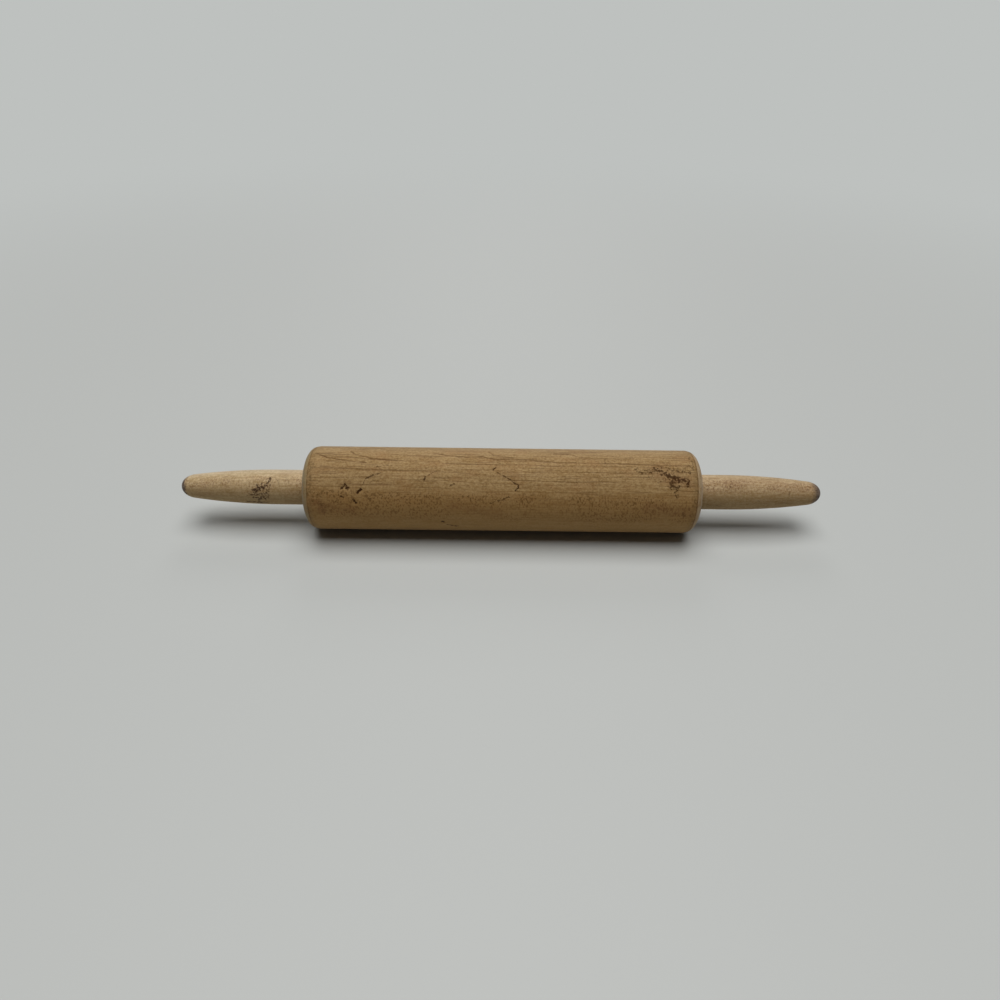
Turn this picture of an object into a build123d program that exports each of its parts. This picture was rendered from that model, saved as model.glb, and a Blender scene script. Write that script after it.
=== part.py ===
"""A hardwood rolling pin whose roller turns on a steel axle held between two tapered handles.

Frame: +X runs along the axle to the right-hand handle, +Z is up, and the origin is on the table
under the middle of the roller, so the axle lies one roller radius above it. Millimetres.
"""

from build123d import *
from math import atan2, cos, radians, sin, tan
import os

# Roller: a plain cylinder that eases down to a crest at each end, then a turned shoulder
roller_length = 279.4
roller_diameter = 60.3
end_ease_length = 5.0
end_ease_drop = 1.0
shoulder_length = 3.8
shoulder_drop = 6.6
shoulder_bulge = 0.75
axle_tunnel_diameter = 11.5

# Axle: one round steel rod from handle to handle
axle_diameter = 9.5
axle_reach_in_handle = 62.0
axle_end_chamfer = 0.9

# Bushings: flanged sleeves pressed into the roller's ends, flush with its end faces
bushing_length = 19.0
bushing_sleeve_diameter = 14.3
bushing_flange_diameter = 22.2
bushing_flange_thickness = 1.6
running_clearance = 0.08

# Thrust washers: one loose disc on the axle between each bushing and handle
washer_diameter = 19.0
washer_thickness = 1.2
washer_bore_clearance = 0.2
end_float = 0.15

# Handles: straight at the roller, then a long curved taper and a blunt rounded nose
handle_diameter = 25.4
handle_length = 92.1
handle_straight_length = 22.0
taper_radius = 454.0
nose_length = 9.5
handle_edge_round = 0.7
bore_end_room = 2.0
drill_point_angle = 118.0

# Handle pins: a headless brad driven through one wall of each handle and across the axle
pin_diameter = 2.4
pin_setback = 14.0
pin_bite_past_axle = 4.0
pin_sink = 0.4
pin_direction_angle = 180.0

# Share of its reach at which a curve's handle stands for the curve to follow a quarter of an ellipse
quarter_ellipse_share = 0.5523

# Places that follow from the sizes above
axle_height = roller_diameter / 2
roller_half_length = roller_length / 2
end_gap = washer_thickness + 2 * end_float
handle_base = roller_half_length + end_gap
axle_half_length = handle_base + axle_reach_in_handle
pin_place = handle_base + pin_setback

SIDES = {"left": -1, "right": 1}


def turned(outline):
    """The solid that a closed outline of (axial place, radius) sweeps round the axle's line."""
    profile = make_face(outline)
    return Pos(Z=axle_height) * revolve(profile, Axis.X, 360)


def rod(diameter, start, end):
    """A round bar on the axle's line between two axial places."""
    radius = diameter / 2
    return turned(Polyline((start, 0), (end, 0), (end, radius), (start, radius), close=True))


def on_side(shape, side):
    """A shape modelled for the right-hand end, or its mirror image for the left-hand end."""
    return shape if SIDES[side] > 0 else mirror(shape, Plane.YZ)


def roller():
    """The roller with its axle tunnel and the stepped seats for both bushings."""
    radius = roller_diameter / 2
    crest = roller_half_length - shoulder_length
    crest_radius = radius - end_ease_drop
    ease_start = crest - end_ease_length
    face_radius = radius - shoulder_drop
    outline = Curve() + [
        Line((-roller_half_length, 0), (roller_half_length, 0)),
        Line((roller_half_length, 0), (roller_half_length, face_radius)),
        SagittaArc((roller_half_length, face_radius), (crest, crest_radius), -shoulder_bulge),
        TangentArc((ease_start, radius), (crest, crest_radius), tangent=(1, 0)),
        Line((ease_start, radius), (-ease_start, radius)),
        TangentArc((-ease_start, radius), (-crest, crest_radius), tangent=(-1, 0)),
        SagittaArc((-crest, crest_radius), (-roller_half_length, face_radius), -shoulder_bulge),
        Line((-roller_half_length, face_radius), (-roller_half_length, 0)),
    ]
    body = turned(outline)
    body -= rod(axle_tunnel_diameter, -roller_half_length, roller_half_length)
    for side in SIDES:
        sleeve_seat = rod(bushing_sleeve_diameter, roller_half_length - bushing_length, roller_half_length)
        flange_seat = rod(
            bushing_flange_diameter,
            roller_half_length - bushing_flange_thickness,
            roller_half_length,
        )
        body -= on_side(sleeve_seat + flange_seat, side)
    return body


def bushing(side):
    """A flanged sleeve that fills its seat in the roller and runs on the axle."""
    inner_end = roller_half_length - bushing_length
    body = rod(bushing_sleeve_diameter, inner_end, roller_half_length)
    body += rod(
        bushing_flange_diameter,
        roller_half_length - bushing_flange_thickness,
        roller_half_length,
    )
    body -= rod(axle_diameter + 2 * running_clearance, inner_end, roller_half_length)
    return on_side(body, side)


def thrust_washer(side):
    """The loose disc that keeps the handle's base off the turning roller."""
    inner_face = roller_half_length + end_float
    outer_face = inner_face + washer_thickness
    body = rod(washer_diameter, inner_face, outer_face)
    body -= rod(axle_diameter + 2 * washer_bore_clearance, inner_face, outer_face)
    return on_side(body, side)


def handle_outline():
    """Half the handle's section: edge round, straight grip, long taper arc, then the nose."""
    radius = handle_diameter / 2
    tip = handle_base + handle_length
    taper_start = handle_base + handle_straight_length
    nose_start = tip - nose_length
    taper_turn = atan2(nose_start - taper_start, taper_radius)
    taper_run = nose_start - taper_start
    taper_drop = taper_run * tan(taper_turn / 2)
    nose_radius = radius - taper_drop
    reach = quarter_ellipse_share * nose_length
    nose_lead = (nose_start + reach * cos(taper_turn), nose_radius - reach * sin(taper_turn))
    edge_end = handle_base + handle_edge_round
    return Curve() + [
        Line((handle_base, 0), (handle_base, radius - handle_edge_round)),
        TangentArc(
            (handle_base, radius - handle_edge_round),
            (edge_end, radius),
            tangent=(0, 1),
        ),
        Line((edge_end, radius), (taper_start, radius)),
        TangentArc((taper_start, radius), (nose_start, nose_radius), tangent=(1, 0)),
        Bezier(
            (nose_start, nose_radius),
            nose_lead,
            (tip, quarter_ellipse_share * nose_radius),
            (tip, 0),
        ),
        Line((tip, 0), (handle_base, 0)),
    ]


def axle_bore():
    """The blind drilled hole in a handle: as wide as the axle, with a drill-point bottom."""
    radius = axle_diameter / 2
    bottom = axle_half_length + bore_end_room
    point = bottom + radius / tan(radians(drill_point_angle / 2))
    return turned(
        Polyline((handle_base, 0), (point, 0), (bottom, radius), (handle_base, radius), close=True)
    )


def handle_pin():
    """The brad: from just under the handle's skin, across the axle and into the far wall."""
    outer_end = handle_diameter / 2 - pin_sink
    inner_end = -(axle_diameter / 2 + pin_bite_past_axle)
    brad = Cylinder(pin_diameter / 2, outer_end - inner_end, align=(Align.CENTER, Align.CENTER, Align.MIN))
    place = Pos(pin_place, 0, axle_height) * Rot(X=pin_direction_angle)
    return place * Pos(Z=inner_end) * brad


def pin_hole():
    """The hole that the brad fills, run on to open at the handle's skin."""
    outer_end = handle_diameter / 2 + pin_sink
    inner_end = -(axle_diameter / 2 + pin_bite_past_axle)
    drill = Cylinder(pin_diameter / 2, outer_end - inner_end, align=(Align.CENTER, Align.CENTER, Align.MIN))
    place = Pos(pin_place, 0, axle_height) * Rot(X=pin_direction_angle)
    return place * Pos(Z=inner_end) * drill


def handle(side):
    """A turned handle with its axle bore and pin hole."""
    return on_side(turned(handle_outline()) - axle_bore() - pin_hole(), side)


def axle_rod():
    """The steel rod, chamfered at both ends and cross-drilled for the two brads."""
    radius = axle_diameter / 2
    shoulder = axle_half_length - axle_end_chamfer
    end_radius = radius - axle_end_chamfer
    body = turned(
        Polyline(
            (-axle_half_length, 0),
            (axle_half_length, 0),
            (axle_half_length, end_radius),
            (shoulder, radius),
            (-shoulder, radius),
            (-axle_half_length, end_radius),
            close=True,
        )
    )
    for side in SIDES:
        body -= on_side(pin_hole(), side)
    return body


def pieces():
    """Every separate piece of the rolling pin under its own name."""
    made = {"roller": roller(), "axle_rod": axle_rod()}
    for side in SIDES:
        made[f"{side}_handle"] = handle(side)
        made[f"{side}_bushing"] = bushing(side)
        made[f"{side}_thrust_washer"] = thrust_washer(side)
        made[f"{side}_handle_pin"] = on_side(handle_pin(), side)
    return made


os.makedirs("parts", exist_ok=True)
for name, shape in pieces().items():
    export_step(shape, f"parts/{name}.step")
    print(name, round(shape.volume), "mm3")
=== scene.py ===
from dataclasses import dataclass
from math import asin, atan2, ceil, cos, hypot, pi, radians, sin, sqrt, tan

import bmesh
import bpy
from mathutils import Euler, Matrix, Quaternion, Vector


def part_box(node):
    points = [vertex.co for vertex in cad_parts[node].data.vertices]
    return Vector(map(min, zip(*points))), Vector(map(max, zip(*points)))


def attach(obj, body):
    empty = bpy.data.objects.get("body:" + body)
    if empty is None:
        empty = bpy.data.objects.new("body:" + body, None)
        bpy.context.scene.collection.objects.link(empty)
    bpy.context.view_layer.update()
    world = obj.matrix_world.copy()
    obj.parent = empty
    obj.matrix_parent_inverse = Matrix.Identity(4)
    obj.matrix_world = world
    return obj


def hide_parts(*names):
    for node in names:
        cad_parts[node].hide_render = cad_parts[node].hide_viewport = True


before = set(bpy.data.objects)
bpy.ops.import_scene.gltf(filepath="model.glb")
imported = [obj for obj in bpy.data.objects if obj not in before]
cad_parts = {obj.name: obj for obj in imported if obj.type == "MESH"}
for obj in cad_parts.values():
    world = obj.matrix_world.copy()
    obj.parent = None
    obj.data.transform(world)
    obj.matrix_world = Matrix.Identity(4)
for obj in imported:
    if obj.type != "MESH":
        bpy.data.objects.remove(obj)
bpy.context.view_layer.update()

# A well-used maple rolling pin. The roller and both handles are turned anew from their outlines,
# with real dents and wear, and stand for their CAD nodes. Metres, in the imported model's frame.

MM = 0.001
SIDES = {"left": -1, "right": 1}

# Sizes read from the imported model
ROLLER_LOW, ROLLER_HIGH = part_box("roller")
HANDLE_LOW, HANDLE_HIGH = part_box("right_handle")
AXLE_LOW, AXLE_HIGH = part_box("axle_rod")
BUSHING_LOW, BUSHING_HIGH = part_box("right_bushing")
BRAD_LOW, BRAD_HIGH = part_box("right_handle_pin")
ROLLER_END = ROLLER_HIGH.x
ROLLER_RADIUS = (ROLLER_HIGH.z - ROLLER_LOW.z) / 2
AXLE_HEIGHT = (ROLLER_HIGH.z + ROLLER_LOW.z) / 2
AXLE_RADIUS = (AXLE_HIGH.z - AXLE_LOW.z) / 2
AXLE_HALF_LENGTH = AXLE_HIGH.x
HANDLE_BASE = HANDLE_LOW.x
HANDLE_TIP = HANDLE_HIGH.x
HANDLE_RADIUS = (HANDLE_HIGH.z - HANDLE_LOW.z) / 2
BUSHING_INNER_END = BUSHING_LOW.x
FLANGE_RADIUS = (BUSHING_HIGH.z - BUSHING_LOW.z) / 2
BRAD_PLACE = (BRAD_LOW.x + BRAD_HIGH.x) / 2
BRAD_RADIUS = (BRAD_HIGH.x - BRAD_LOW.x) / 2

# Sizes of the turned forms that no box shows, as the CAD model has them
END_EASE_LENGTH = 5.0 * MM
END_EASE_DROP = 1.0 * MM
SHOULDER_LENGTH = 3.8 * MM
SHOULDER_DROP = 6.6 * MM
SHOULDER_BULGE = 0.75 * MM
CREST = ROLLER_END - SHOULDER_LENGTH
FACE_RADIUS = ROLLER_RADIUS - SHOULDER_DROP
AXLE_TUNNEL_RADIUS = 5.75 * MM
SLEEVE_SEAT_RADIUS = 7.15 * MM
FLANGE_THICKNESS = 1.6 * MM
HANDLE_STRAIGHT = 22.0 * MM
TAPER_RADIUS = 454.0 * MM
NOSE_LENGTH = 9.5 * MM
HANDLE_EDGE_ROUND = 0.7 * MM
BORE_END_ROOM = 2.0 * MM
DRILL_POINT_ANGLE = radians(118)
BRAD_DIRECTION_ANGLE = radians(180)
BRAD_BITE = 4.0 * MM
QUARTER_ELLIPSE_SHARE = 0.5523

# How finely the turned forms are cut
FINE_STEP = 0.45 * MM
COARSE_STEP = 1.2 * MM
BORE_STEP = 12 * MM
SHOULDER_STEPS = 10
NOSE_STEPS = 24
EDGE_STEPS = 6
BRAD_HOLE_SIDES = 32
WELD_DISTANCE = 0.001 * MM
CRISP_ANGLE = radians(28)

# Camera, fitted to the pin's outline in the photograph
PHOTO_PIXELS = 1000
PHOTO_HALF = PHOTO_PIXELS / 2
FOCAL_PIXELS = 650
SENSOR_WIDTH = 36.0
CLIP_START = 10 * MM
VIEW_DISTANCE = 476.6 * MM
VIEW_ELEVATION = radians(36)
VIEW_SWING = radians(0.87)
VIEW_ROLL = radians(1.19)
PIN_CENTRE_PIXEL = (502.4, 489.6)
LEVEL_SHARE = cos(VIEW_ELEVATION)
RISE_SHARE = sin(VIEW_ELEVATION)


def add_object(name, data):
    """A new object in the scene."""
    item = bpy.data.objects.new(name, data)
    bpy.context.scene.collection.objects.link(item)
    return item


# Photograph


def pixel_ray(pixel):
    """The way from the camera to a pixel of the photograph, as the camera sees it."""
    return Vector((pixel[0] - PHOTO_HALF, PHOTO_HALF - pixel[1], -FOCAL_PIXELS))


def camera_turn():
    """The camera's place and turn: the pin's centre falls on its own pixel, at the fitted roll."""
    level = LEVEL_SHARE
    back = Vector((-sin(VIEW_SWING) * level, -cos(VIEW_SWING) * level, RISE_SHARE))
    place = Vector((0, 0, AXLE_HEIGHT)) + VIEW_DISTANCE * back
    to_ray = Vector((0, 0, -1)).rotation_difference(pixel_ray(PIN_CENTRE_PIXEL))
    roll = Quaternion((0, 0, 1), VIEW_ROLL)
    return place, (-back).to_track_quat("-Z", "Y") @ roll @ to_ray.inverted()


def add_camera():
    """The photograph's viewpoint."""
    data = bpy.data.cameras.new("photograph camera")
    data.sensor_width = SENSOR_WIDTH
    data.lens = SENSOR_WIDTH * FOCAL_PIXELS / PHOTO_PIXELS
    data.clip_start = CLIP_START
    camera = add_object("photograph camera", data)
    camera.rotation_mode = "QUATERNION"
    camera.location, camera.rotation_quaternion = camera_turn()
    bpy.context.scene.camera = camera


def skin_place(pixel, radius):
    """Where a pixel of the photograph meets a cylinder round the axle, as a point in space."""
    place, turn = camera_turn()
    ray = turn @ pixel_ray(pixel)
    start_y, start_z = place.y, place.z - AXLE_HEIGHT
    a = ray.y**2 + ray.z**2
    b = 2 * (start_y * ray.y + start_z * ray.z)
    c = start_y**2 + start_z**2 - radius**2
    reach = (-b - sqrt(b * b - 4 * a * c)) / (2 * a)
    return place + reach * ray


def unrolled(point, radius):
    """A point's place on the unrolled skin in millimetres: along the pin, then down from the line
    that faces the camera."""
    y, z = point.y, point.z - AXLE_HEIGHT
    facing = -y * LEVEL_SHARE + z * RISE_SHARE
    down = -y * RISE_SHARE - z * LEVEL_SHARE
    return point.x / MM, radius * atan2(down, facing) / MM


# Marks


@dataclass
class Mark:
    """One stain, scratch or gouge. Its reach and its dent are in millimetres, and a lower core
    makes its middle denser."""

    reach: float
    core: float
    strength: float
    dent: float
    pixels: tuple


def marks(*rows):
    """Marks from rows of reach, core, strength and dent, then the pixels that each runs through."""
    return [Mark(*row[:4], row[4:]) for row in rows]


ROLLER_MARKS = marks(
    # Gouges and a curved crack near the left end
    (2.8, 0.26, 0.95, 0.35, (341.5, 487.5), (345, 485), (348, 487.5)),
    (2.4, 0.26, 0.95, 0.25, (345.5, 486), (346.5, 489)),
    (1.8, 0.26, 0.95, 0.2, (341, 496.5), (343.5, 497)),
    (2.1, 0.18, 1, 0.3, (357.5, 492.5), (361, 489.5)),
    (1.3, 0.38, 0.75, 0, (361.5, 489), (363, 484), (364.5, 479.5), (369, 477)),
    (2, 0.3, 0.8, 0, (365.5, 479), (370, 476.5)),
    (1.7, 0.3, 0.75, 0, (368, 477), (374, 475), (380, 473)),
    (2, 0.26, 0.95, 0.2, (352.5, 498.5), (356, 503)),
    (1.9, 0.38, 0.75, 0, (333.5, 503), (337, 500.5)),
    (2.6, 0.46, 0.55, 0, (338, 502), (350, 505)),
    (2, 0.44, 0.5, 0, (326, 506), (330, 510)),
    (1.6, 0.38, 0.7, 0, (368.5, 497), (371, 499)),
    (1.5, 0.3, 0.85, 0, (376, 466.5), (379, 466.5)),
    (2.4, 0.45, 0.6, 0, (373, 465.5), (380, 466), (389, 465)),
    (2, 0.42, 0.5, 0, (372, 480), (381, 481)),
    (8, 0.44, 0.45, 0, (311, 462), (311, 500)),
    (9, 0.44, 0.45, 0, (318, 494), (324, 512)),
    (5, 0.5, 0.4, 0, (318, 468), (332, 474)),
    # Scratches and a hooked crack in the middle
    (1.8, 0.24, 0.85, 0, (424, 479.5), (425.5, 477.5)),
    (1.6, 0.4, 0.65, 0, (427.5, 476), (431, 473.5), (436, 471.5)),
    (1.8, 0.3, 0.8, 0, (450, 486), (454, 484)),
    (1.4, 0.44, 0.5, 0, (452, 488), (457, 489)),
    (1.8, 0.26, 0.9, 0.2, (493, 469.5), (496, 467.5)),
    (1.3, 0.32, 0.8, 0, (497, 472.5), (501, 474.5), (505, 477), (510, 479.5), (514, 482.5)),
    (1.7, 0.27, 0.9, 0.15, (514, 482.5), (518, 485), (518.5, 487), (515.5, 490.5)),
    (1.7, 0.38, 0.7, 0, (490, 504), (494, 502), (498, 501), (504, 499.5)),
    (1.6, 0.32, 0.85, 0, (504, 499.5), (508.5, 497)),
    (2, 0.2, 0.95, 0.15, (442, 521.5), (444, 522)),
    (1.9, 0.28, 0.8, 0, (447, 524.5), (453, 525.5), (458, 526)),
    (1.2, 0.36, 0.6, 0, (604.5, 459), (605, 466)),
    # Burnt-looking smudge near the right end
    (4.2, 0.4, 0.8, 0, (636, 469.5), (643, 474)),
    (5.6, 0.37, 0.8, 0, (643, 472), (656, 472)),
    (4, 0.43, 0.6, 0, (640, 478), (652, 477)),
    (6.5, 0.46, 0.7, 0, (655, 466), (684, 470)),
    (5.5, 0.44, 0.7, 0, (660, 482), (668, 478)),
    (6.4, 0.33, 0.85, 0, (656, 470), (662, 472), (668, 476)),
    (6.4, 0.28, 0.9, 0.12, (668, 476), (674, 478), (680, 480)),
    (5.8, 0.31, 0.85, 0.1, (672, 482), (672, 487), (678, 488)),
    (5, 0.31, 0.9, 0.12, (684, 480), (688, 482), (688, 486)),
    (4.6, 0.4, 0.8, 0, (668, 470), (678, 471), (690, 473)),
    (3.2, 0.4, 0.8, 0, (686, 467), (694, 466.5)),
    (3.6, 0.38, 0.8, 0, (674, 491), (677, 497)),
    (5, 0.43, 0.65, 0, (689, 457), (694, 470)),
    (2.2, 0.4, 0.6, 0, (683, 513), (685, 516)),
)

# Growth lines that the photograph shows one by one, where they reach the top of the roller
ROLLER_GRAIN = marks(
    (1.1, 0, 0.8, 0, (434, 453), (447, 455.5), (468, 457.5), (482, 456.5), (495, 459.5)),
    (1, 0, 0.75, 0, (495, 459.5), (528, 460), (557, 462.5)),
    (1, 0, 0.6, 0, (557, 462.5), (605, 463.5), (645, 465), (690, 466)),
    (1, 0, 0.65, 0, (489, 452), (494, 455.5), (509, 457)),
    (1.1, 0, 0.8, 0, (316, 453), (327, 457.5), (350, 461), (366, 462.5)),
    (1.1, 0, 0.7, 0, (351, 451.5), (356, 454.5), (372, 458.5), (397, 460.5)),
    (0.9, 0, 0.5, 0, (320, 466), (360, 469), (400, 470)),
    (1.6, 0, 0.7, 0, (554, 454), (568, 454.5)),
    (1, 0, 0.55, 0, (568, 454.5), (582, 457.5), (624, 459), (634, 458)),
)

# Reddish places on the lower front of the roller
ROLLER_BLUSHES = marks(
    (8, 0, 0.5, 0, (312, 502), (322, 508)),
    (7, 0, 0.3, 0, (330, 506), (352, 510)),
    (7, 0, 0.2, 0, (452, 506), (500, 514)),
    (7.5, 0, 0.35, 0, (648, 508), (688, 512)),
    (8, 0, 0.35, 0, (656, 473), (686, 481)),
)

LEFT_MARKS = marks(
    (5, 0.29, 0.9, 0, (254, 491), (258, 488.5), (264, 487)),
    (4, 0.38, 0.8, 0, (256, 485.5), (262, 484)),
    (3.8, 0.35, 0.85, 0, (265, 487), (268, 482), (271, 478)),
    (3.4, 0.4, 0.75, 0, (267, 491), (270, 485.5)),
    (4, 0.38, 0.8, 0, (249, 495), (264, 494)),
    (2.6, 0.34, 0.85, 0, (253, 497.5), (266, 498)),
    (4.2, 0.36, 0.85, 0, (259, 500), (268, 492)),
    (3.2, 0.4, 0.8, 0, (266, 500), (269, 495)),
    (2.6, 0.3, 0.9, 0, (247, 502), (267, 502.5)),
    (2.6, 0.42, 0.6, 0, (188, 486), (194, 484)),
    (1.4, 0.36, 0.5, 0, (218, 482), (220, 482)),
    (1.6, 0.42, 0.6, 0, (278, 481), (279, 485)),
    (1.8, 0.44, 0.5, 0, (286, 478), (290, 483)),
)

RIGHT_MARKS = marks(
    (1.2, 0.38, 0.5, 0, (790, 487), (790.5, 494), (790, 501)),
    (1.8, 0.42, 0.6, 0, (730, 486), (732, 492)),
    (1.8, 0.42, 0.6, 0, (741, 487), (742, 491)),
    (2.6, 0.44, 0.6, 0, (704, 482), (708, 489)),
    (2.4, 0.44, 0.6, 0, (706, 505), (720, 506)),
    (1.5, 0.42, 0.5, 0, (757, 500), (760, 502)),
)


# Node wiring


def shade(*screen):
    """A linear colour from the 0 to 255 values that a screen shows, by the sRGB curve."""
    shares = [value / 255 for value in screen]
    return (*(s / 12.92 if s <= 0.04045 else ((s + 0.055) / 1.055) ** 2.4 for s in shares), 1.0)


class Net:
    """Adds nodes to one tree and joins them up."""

    def __init__(self, tree):
        self.tree = tree

    def feed(self, node, inputs):
        """Links or sets a node's inputs, each given by its name or number."""
        for key, value in inputs.items():
            socket = node.inputs[key]
            if isinstance(value, bpy.types.NodeSocket):
                self.tree.links.new(value, socket)
            else:
                socket.default_value = value

    def add(self, kind, inputs=None, **settings):
        """A new node with its settings and inputs."""
        node = self.tree.nodes.new(kind)
        for name, value in settings.items():
            setattr(node, name, value)
        self.feed(node, inputs or {})
        return node

    def calc(self, operation, *values):
        return self.add("ShaderNodeMath", dict(enumerate(values)), operation=operation).outputs[0]

    def total(self, first, *rest):
        for value in rest:
            first = self.calc("ADD", first, value)
        return first

    def product(self, first, *rest):
        for value in rest:
            first = self.calc("MULTIPLY", first, value)
        return first

    def unit(self, value):
        """A value kept between 0 and 1. Clamp options on nodes would cost the shader more memory."""
        return self.calc("MINIMUM", self.calc("MAXIMUM", value, 0.0), 1.0)

    def vector(self, operation, *values, scale=None):
        inputs = dict(enumerate(values))
        if scale is not None:
            inputs["Scale"] = scale
        node = self.add("ShaderNodeVectorMath", inputs, operation=operation)
        scalar = operation in ("DOT_PRODUCT", "LENGTH", "DISTANCE")
        return node.outputs["Value" if scalar else "Vector"]

    def dot(self, first, second):
        return self.vector("DOT_PRODUCT", first, second)

    def parts(self, vector):
        return tuple(self.add("ShaderNodeSeparateXYZ", {0: vector}).outputs)

    def join(self, x, y, z):
        return self.add("ShaderNodeCombineXYZ", {0: x, 1: y, 2: z}).outputs[0]

    def off_line(self, place):
        """How far a place lies from the line along X."""
        _, y, z = self.parts(place)
        return self.vector("LENGTH", self.join(0.0, y, z))

    def turn(self, vector, angles):
        inputs = {"Vector": vector, "Rotation": angles}
        return self.add("ShaderNodeVectorRotate", inputs, rotation_type="EULER_XYZ").outputs[0]

    def smooth(self, value, start, end, low=0.0, high=1.0):
        """A value's soft step from low to high between start and end."""
        inputs = {"Value": value, "From Min": start, "From Max": end, "To Min": low, "To Max": high}
        node = self.add("ShaderNodeMapRange", inputs, interpolation_type="SMOOTHSTEP", clamp=False)
        return node.outputs["Result"]

    def noise(self, place, spacing, seed, detail=2.0, roughness=0.5):
        """Noise round a half, with features about spacing long on each axis."""
        stretch = tuple(1 / length for length in spacing)
        inputs = {
            "Vector": self.vector("MULTIPLY_ADD", place, stretch, (seed, seed, seed)),
            "Scale": 1.0,
            "Detail": detail,
            "Roughness": roughness,
        }
        return self.add("ShaderNodeTexNoise", inputs, noise_dimensions="3D").outputs["Fac"]

    def patches(self, place, spacing, seed, start, end, low=0.0, high=1.0, **kind):
        """Soft patches: noise stepped from low to high between start and end."""
        return self.smooth(self.noise(place, spacing, seed, **kind), start, end, low, high)

    def sway(self, noise, weight):
        """Noise brought round zero and weighted."""
        return self.product(self.calc("SUBTRACT", noise, 0.5), weight)

    def blend(self, share, first, second):
        node = self.add("ShaderNodeMix", {"Factor": share}, data_type="RGBA")
        colours = [i for i, socket in enumerate(node.inputs) if socket.type == "RGBA"]
        self.feed(node, dict(zip(colours, (first, second))))
        return next(socket for socket in node.outputs if socket.type == "RGBA")


def new_group(name, tree_type, inputs, outputs):
    """The net of a new node group, and what its input node gives."""
    group = bpy.data.node_groups.new(name, tree_type)
    for in_out, sockets in (("INPUT", inputs), ("OUTPUT", outputs)):
        for label, kind in sockets.items():
            group.interface.new_socket(label, in_out=in_out, socket_type=f"NodeSocket{kind}")
    net = Net(group)
    return net, net.add("NodeGroupInput").outputs


def new_material(name):
    """A new material, its net and its bare shader."""
    material = bpy.data.materials.new(name)
    material.use_nodes = True
    shader = next(node for node in material.node_tree.nodes if node.type == "BSDF_PRINCIPLED")
    return material, Net(material.node_tree), shader


def place_on_axle(net):
    """The object's own place in millimetres, measured from the middle of the axle."""
    coordinate = net.add("ShaderNodeTexCoord").outputs["Object"]
    centred = net.vector("SUBTRACT", coordinate, (0, 0, AXLE_HEIGHT))
    return net.vector("SCALE", centred, scale=1 / MM)


def unrolled_skin(net, place, radius):
    """The shader's twin of unrolled, shifted a little from place to place so that no stroke runs
    dead straight."""
    wander_scale, wander_reach = 0.35, 1.6
    facing = net.dot(place, (0, -LEVEL_SHARE, RISE_SHARE))
    down = net.dot(place, (0, -RISE_SHARE, -LEVEL_SHARE))
    around = net.product(net.calc("ARCTAN2", down, facing), radius / MM)
    skin = net.join(net.parts(place)[0], around, 0)
    inputs = {"Vector": place, "Scale": wander_scale, "Detail": 2}
    wander = net.add("ShaderNodeTexNoise", inputs, noise_dimensions="3D").outputs["Color"]
    shift = net.vector("SUBTRACT", wander, (0.5, 0.5, 0.5))
    return net.vector("MULTIPLY_ADD", shift, (wander_reach, wander_reach, 0), skin)


def stroke_group():
    """How close a place is to a straight stroke: 1 on its line, 0 from its reach outwards."""
    net, start = new_group(
        "closeness to a stroke", "ShaderNodeTree",
        {"Place": "Vector", "Start": "Vector", "Run": "Vector", "Reach": "Float"}, {"Closeness": "Float"},
    )
    run = start["Run"]
    offset = net.vector("SUBTRACT", start["Place"], start["Start"])
    run_squared = net.dot(run, run)
    share = net.unit(net.calc("DIVIDE", net.dot(offset, run), run_squared))
    distance = net.vector("DISTANCE", offset, net.vector("SCALE", run, scale=share))
    far_share = net.calc("DIVIDE", distance, start["Reach"])
    net.add("NodeGroupOutput", {"Closeness": net.unit(net.calc("SUBTRACT", 1, far_share))})
    return net.tree


STROKE_GROUP = stroke_group()


def closeness_to(net, skin, mark, radius):
    """How close the skin is to any stroke of a mark."""
    places = [unrolled(skin_place(pixel, radius), radius) for pixel in mark.pixels]
    nearest = None
    for start, end in zip(places, places[1:]):
        run = (end[0] - start[0], end[1] - start[1], 0)
        inputs = {"Place": skin, "Start": (*start, 0), "Run": run, "Reach": mark.reach}
        closeness = net.add("ShaderNodeGroup", inputs, node_tree=STROKE_GROUP).outputs["Closeness"]
        nearest = closeness if nearest is None else net.calc("MAXIMUM", nearest, closeness)
    return nearest


def marks_mask(net, place, skin, wood):
    """How dark the stains are: speckles that crowd together near each stroke."""
    far_threshold = 0.8
    edge_softness = 0.16
    speckle = net.noise(place, (1.4, 1.25, 1.25), 4, detail=3, roughness=0.65)
    mask = 0
    for mark in wood.marks:
        closeness = closeness_to(net, skin, mark, wood.radius)
        threshold = net.calc("MULTIPLY_ADD", closeness, mark.core - far_threshold, far_threshold)
        above = net.calc("SUBTRACT", speckle, threshold)
        spots = net.smooth(above, 0, edge_softness, 0, mark.strength)
        mask = net.calc("MAXIMUM", mask, spots)
    return mask


def lines_mask(net, place, skin, lines, radius):
    """How dark single growth lines are: soft lines that fade and come back."""
    faint = net.patches(place, (9, 3, 3), 14, 0.3, 0.6, 0.35, 1)
    mask = 0
    for mark in lines:
        line = net.smooth(closeness_to(net, skin, mark, radius), mark.core, 1, 0, mark.strength)
        mask = net.calc("MAXIMUM", mask, line)
    return net.product(mask, faint)


# Wood


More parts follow.
